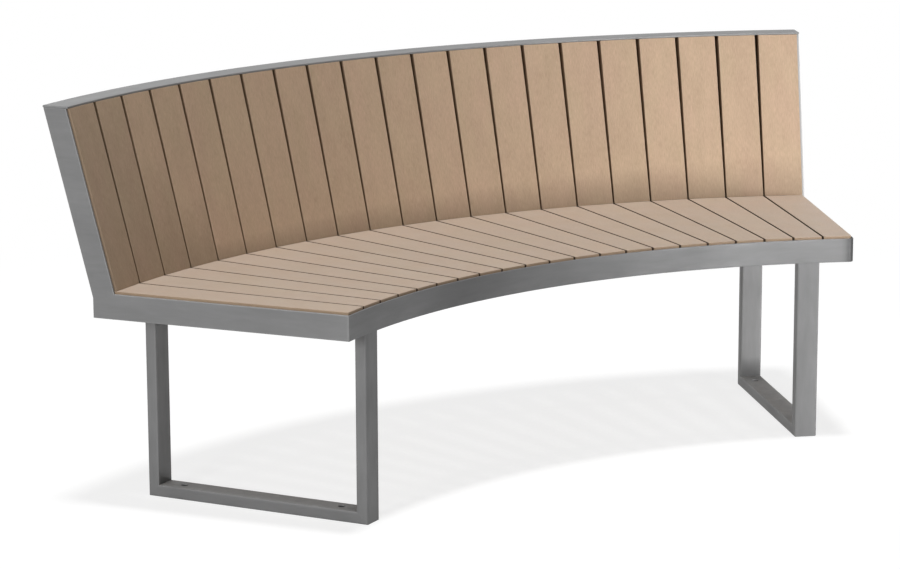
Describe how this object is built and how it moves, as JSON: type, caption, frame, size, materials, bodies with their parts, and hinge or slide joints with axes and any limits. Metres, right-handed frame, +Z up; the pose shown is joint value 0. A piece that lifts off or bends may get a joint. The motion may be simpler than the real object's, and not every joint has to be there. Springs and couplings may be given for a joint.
{
  "type": "curved garden bench",
  "caption": "Curved garden bench: wooden seat planks and back boards laid round an arc in a satin steel frame, on a rectangular steel leg loop near each end.",
  "frame": {"origin": "on the floor, in the middle of the bench's outline seen from above", "axes": "+X runs along the chord of the arc to the right of someone facing the bench, +Y points to the back, +Z up; the arc's centre lies in front of the bench at x = 0"},
  "size_m": [2.0176, 0.8572, 0.8205],
  "materials": {
    "wood": "sanded hardwood, weathered to a greyish brown, without gloss",
    "steel": "bare satin steel with a soft cloudy sheen"
  },
  "bodies": {
    "root": {"seat_plank_01": "wood", "seat_plank_02": "wood", "seat_plank_03": "wood", "seat_plank_04": "wood", "seat_plank_05": "wood", "seat_plank_06": "wood", "seat_plank_07": "wood", "seat_plank_08": "wood", "seat_plank_09": "wood", "seat_plank_10": "wood", "seat_plank_11": "wood", "seat_plank_12": "wood", "seat_plank_13": "wood", "seat_plank_14": "wood", "seat_plank_15": "wood", "seat_plank_16": "wood", "seat_plank_17": "wood", "seat_plank_18": "wood", "seat_plank_19": "wood", "seat_plank_20": "wood", "seat_plank_21": "wood", "back_board_01": "wood", "back_board_02": "wood", "back_board_03": "wood", "back_board_04": "wood", "back_board_05": "wood", "back_board_06": "wood", "back_board_07": "wood", "back_board_08": "wood", "back_board_09": "wood", "back_board_10": "wood", "back_board_11": "wood", "back_board_12": "wood", "back_board_13": "wood", "back_board_14": "wood", "back_board_15": "wood", "back_board_16": "wood", "back_board_17": "wood", "back_board_18": "wood", "back_board_19": "wood", "back_board_20": "wood", "back_board_21": "wood", "front_apron": "steel", "end_plate_left": "steel", "end_plate_right": "steel", "top_rail": "steel", "rear_shell": "steel", "seat_rail_front": "steel", "ribbed_rear_rail": "steel", "back_rail_lower": "steel", "back_rail_upper": "steel", "leg_left_front_upright": "steel", "leg_left_rear_upright": "steel", "leg_left_foot_rail": "steel", "leg_left_head_rail": "steel", "leg_right_front_upright": "steel", "leg_right_rear_upright": "steel", "leg_right_foot_rail": "steel", "leg_right_head_rail": "steel"}
  },
  "joints": []
}
